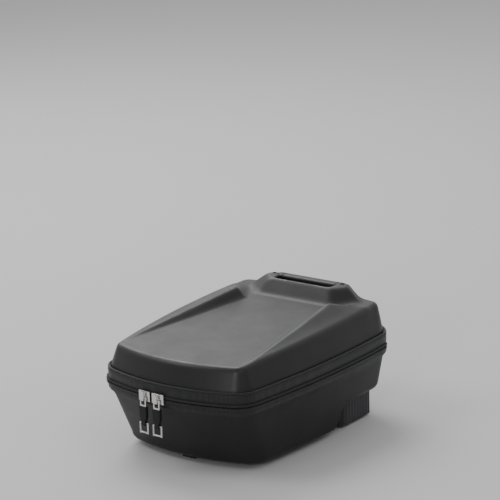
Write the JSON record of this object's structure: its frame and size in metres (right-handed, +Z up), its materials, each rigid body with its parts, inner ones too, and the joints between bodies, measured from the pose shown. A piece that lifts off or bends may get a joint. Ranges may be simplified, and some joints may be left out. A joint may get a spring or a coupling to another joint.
{
  "type": "motorcycle tank bag",
  "caption": "Semi-hard tank bag with a zip-around lid that hinges at the front, a recessed carry handle and a quick-release ring under its moulded tub.",
  "frame": {"origin": "centre of the lock ring's underside, where the bag sits on the tank's ring", "axes": "+X to the rider's right, +Y towards the handlebar, +Z up"},
  "size_m": [0.2318, 0.3287, 0.149],
  "materials": {
    "shell_black": "fine grained, satin",
    "lid_black": "fine grained, satin",
    "grip_black": "satin",
    "ring_plastic": "moulded",
    "bolt_plastic": "moulded",
    "foot_rubber": "ribbed, matt",
    "tab_rubber": "matt",
    "piping": "satin",
    "lining_fabric": "woven",
    "zip_fabric": "woven, coated",
    "webbing": "ribbed",
    "mesh": "open net",
    "zip_coil": "satin",
    "zip_metal": "nickel, satin",
    "steel": "zinc",
    "black_steel": "black"
  },
  "bodies": {
    "base": {"base_shell": "shell_black", "base_liner": "lining_fabric", "ring_adapter": "ring_plastic", "ring_screws": "steel", "ring_nuts": "steel", "floor_plate": "ring_plastic", "latch_cover": "ring_plastic", "latch_spring": "steel", "front_foot": "foot_rubber", "rear_pads": "foot_rubber", "zip_tape_lower": "zip_fabric", "zip_coil_lower": "zip_coil", "hinge_strip": "zip_fabric"},
    "lid": {"lid_shell": "lid_black", "lid_piping": "piping", "lid_liner": "lining_fabric", "mesh_binding": "webbing", "mesh_panel": "mesh", "carry_handle": "grip_black", "handle_screws": "black_steel", "handle_plates": "steel", "zip_tape_upper": "zip_fabric", "zip_coil_upper": "zip_coil"},
    "latch": {"latch_bolt": "bolt_plastic", "release_strap": "webbing"},
    "slider_left": {"slider_left": "zip_metal"},
    "slider_right": {"slider_right": "zip_metal"},
    "puller_left": {"pull_link_left": "zip_metal", "pull_tab_left": "tab_rubber"},
    "puller_right": {"pull_link_right": "zip_metal", "pull_tab_right": "tab_rubber"},
    "loop_left": {"end_loop_left": "zip_metal"},
    "loop_right": {"end_loop_right": "zip_metal"}
  },
  "joints": [
    {"name": "lid_hinge", "type": "hinge", "parent": "base", "child": "lid", "pos_m": [0, 0.2002, 0.085], "axis": [-1, 0, 0], "range_deg": [0, 80], "deforming": ["hinge_strip"]},
    {"name": "latch_pull", "type": "slide", "parent": "base", "child": "latch", "axis": [0, -1, 0], "range_m": [0, 0.004], "stiffness_N_per_m": 900, "springref_m": -0.003, "deforming": ["latch_spring"]},
    {"name": "slider_left_run", "type": "hinge", "parent": "base", "child": "slider_left", "pos_m": [0, 0.1171, 0.085], "axis": [0, 0, 1], "range_deg": [-11.5, 0]},
    {"name": "puller_left_swing", "type": "hinge", "parent": "slider_left", "child": "puller_left", "pos_m": [-0.02293, -0.12542, 0.0833], "axis": [-0.9956, 0.0941, 0], "range_deg": [0, 110]},
    {"name": "loop_left_swing", "type": "hinge", "parent": "puller_left", "child": "loop_left", "pos_m": [-0.02293, -0.12542, 0.0534], "axis": [-0.9956, 0.0941, 0], "range_deg": [-40, 80]},
    {"name": "slider_right_run", "type": "hinge", "parent": "base", "child": "slider_right", "pos_m": [0, 0.1171, 0.085], "axis": [0, 0, 1], "range_deg": [0, 17.5]},
    {"name": "puller_right_swing", "type": "hinge", "parent": "slider_right", "child": "puller_right", "pos_m": [-0.0034, -0.12648, 0.0833], "axis": [-0.9999, 0.014, 0], "range_deg": [0, 110]},
    {"name": "loop_right_swing", "type": "hinge", "parent": "puller_right", "child": "loop_right", "pos_m": [-0.0034, -0.12648, 0.0534], "axis": [-0.9999, 0.014, 0], "range_deg": [-40, 80]}
  ]
}
